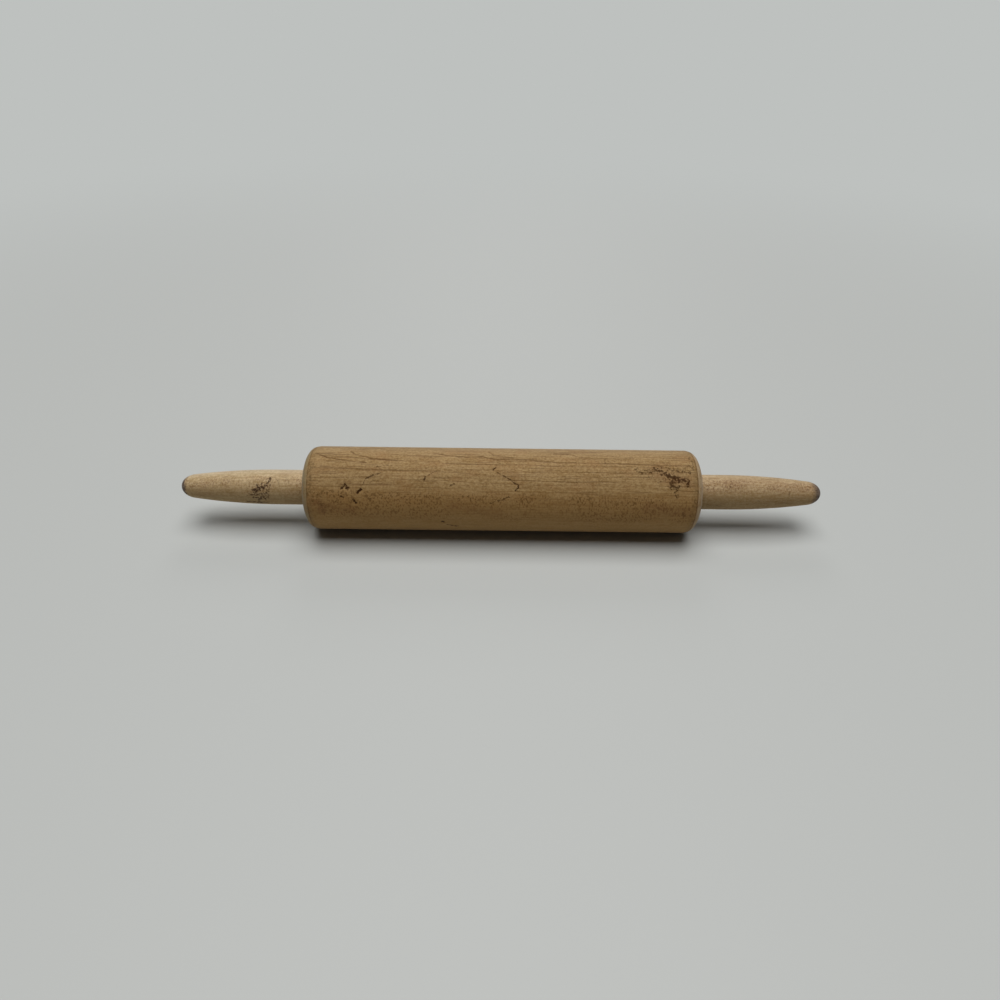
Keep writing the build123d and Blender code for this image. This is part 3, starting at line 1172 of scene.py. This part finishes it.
def bushing_nylon():
    """Off-white nylon, a little mottled."""
    colours = shade(226, 220, 204), shade(202, 193, 172)
    return wavering("bushing nylon", (3, 3, 3), 37, 4, colours, (0.38, 0.52), metallic=0)


def washer_steel():
    """Stamped steel washer: faint turning marks and dull spots."""
    material, net, shader = new_material("washer steel")
    dark, bright = shade(138, 137, 134), shade(186, 185, 182)
    place = place_on_axle(net)
    ring_place = net.join(0, net.off_line(place), 0)
    rings = net.noise(ring_place, (1, 0.18, 1), 9, detail=3)
    spots = net.noise(place, (2, 2, 2), 19, detail=4)
    tone = net.total(net.product(rings, 0.5), net.product(spots, 0.5))
    net.feed(shader, {
        "Base Color": net.blend(tone, dark, bright),
        "Metallic": 1,
        "Roughness": net.smooth(spots, 0.3, 0.7, 0.32, 0.5),
    })
    return material


def brad_steel():
    """A cut brad's dark head: grey steel with brown spots."""
    material, net, shader = new_material("brad steel")
    steel, brown = shade(120, 118, 116), shade(84, 60, 44)
    rust = net.patches(place_on_axle(net), (0.7, 0.7, 0.7), 29, 0.45, 0.6, detail=4)
    net.feed(shader, {
        "Base Color": net.blend(rust, steel, brown),
        "Metallic": net.calc("SUBTRACT", 1, net.product(rust, 0.8)),
        "Roughness": net.smooth(rust, 0, 1, 0.38, 0.7),
    })
    return material


def dress_cad_nodes():
    """Gives each piece that keeps its CAD mesh its own material."""
    finishes = {
        "axle_rod": axle_steel(),
        "thrust_washer": washer_steel(),
        "handle_pin": brad_steel(),
        "bushing": bushing_nylon(),
    }
    for name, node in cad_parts.items():
        for ending, material in finishes.items():
            if name.endswith(ending):
                for slot in node.material_slots:
                    slot.material = material


# Studio

BACKDROP = shade(190, 193, 191)
FLOOR_COLOUR = shade(189, 191, 188)
FLOOR_HALF_SIDE = 3.0
FLOOR_MELTS_FROM, FLOOR_MELTS_TO = 0.4, 1.6
AIR_COLOUR = (0.94, 0.97, 1.0, 1.0)
AIR_STRENGTH = 0.04
LAMP_TARGET = Vector((0, 0, 0))

# Each lamp's name with its place, the side of its square and its power
LAMPS = {
    "skylight": ((0.0, 0.4, 8.0), 7.0, 690),
    "rear window": ((0.0, 7.0, 4.6), 3.0, 70),
}


def camera_sees(net):
    """1 where the camera itself looks, 0 for light on its way round."""
    return net.add("ShaderNodeLightPath").outputs["Is Camera Ray"]


def add_floor():
    """A plain pale floor, which the camera sees melt into the backdrop far from the pin."""
    mesh = bpy.data.meshes.new("floor")
    corners = ((-1, -1), (1, -1), (1, 1), (-1, 1))
    places = [(x * FLOOR_HALF_SIDE, y * FLOOR_HALF_SIDE, 0) for x, y in corners]
    mesh.from_pydata(places, [], [(0, 1, 2, 3)])
    floor = add_object("floor", mesh)
    material, net, shader = new_material("pale floor")
    net.feed(shader, {"Base Color": FLOOR_COLOUR, "Roughness": 0.6})
    far = net.vector("LENGTH", net.add("ShaderNodeTexCoord").outputs["Object"])
    melted = net.product(net.smooth(far, FLOOR_MELTS_FROM, FLOOR_MELTS_TO), camera_sees(net))
    glow = net.add("ShaderNodeEmission", {"Color": BACKDROP})
    melt = net.add("ShaderNodeMixShader", {"Fac": melted, 1: shader.outputs[0], 2: glow.outputs[0]})
    output = next(node for node in material.node_tree.nodes if node.type == "OUTPUT_MATERIAL")
    net.feed(output, {"Surface": melt.outputs[0]})
    mesh.materials.append(material)


def add_light():
    """Soft daylight from a wide window overhead, and weak air light all round."""
    for name, (place, side, power) in LAMPS.items():
        data = bpy.data.lights.new(name, "AREA")
        data.shape = "SQUARE"
        data.size = side
        data.energy = power
        lamp = add_object(name, data)
        lamp.location = place
        lamp.rotation_euler = (LAMP_TARGET - Vector(place)).to_track_quat("-Z", "Y").to_euler()
    world = bpy.data.worlds.new("studio air")
    bpy.context.scene.world = world
    world.use_nodes = True
    net = Net(world.node_tree)
    air = world.node_tree.nodes["Background"]
    net.feed(air, {"Color": AIR_COLOUR, "Strength": AIR_STRENGTH})
    backdrop = net.add("ShaderNodeBackground", {"Color": BACKDROP})
    choice = {"Fac": camera_sees(net), 1: air.outputs[0], 2: backdrop.outputs[0]}
    choose = net.add("ShaderNodeMixShader", choice)
    net.feed(world.node_tree.nodes["World Output"], {"Surface": choose.outputs[0]})


bpy.context.scene.view_settings.view_transform = "Standard"
add_camera()
add_floor()
add_light()
make_roller()
for side in SIDES:
    make_handle(side)
dress_cad_nodes()
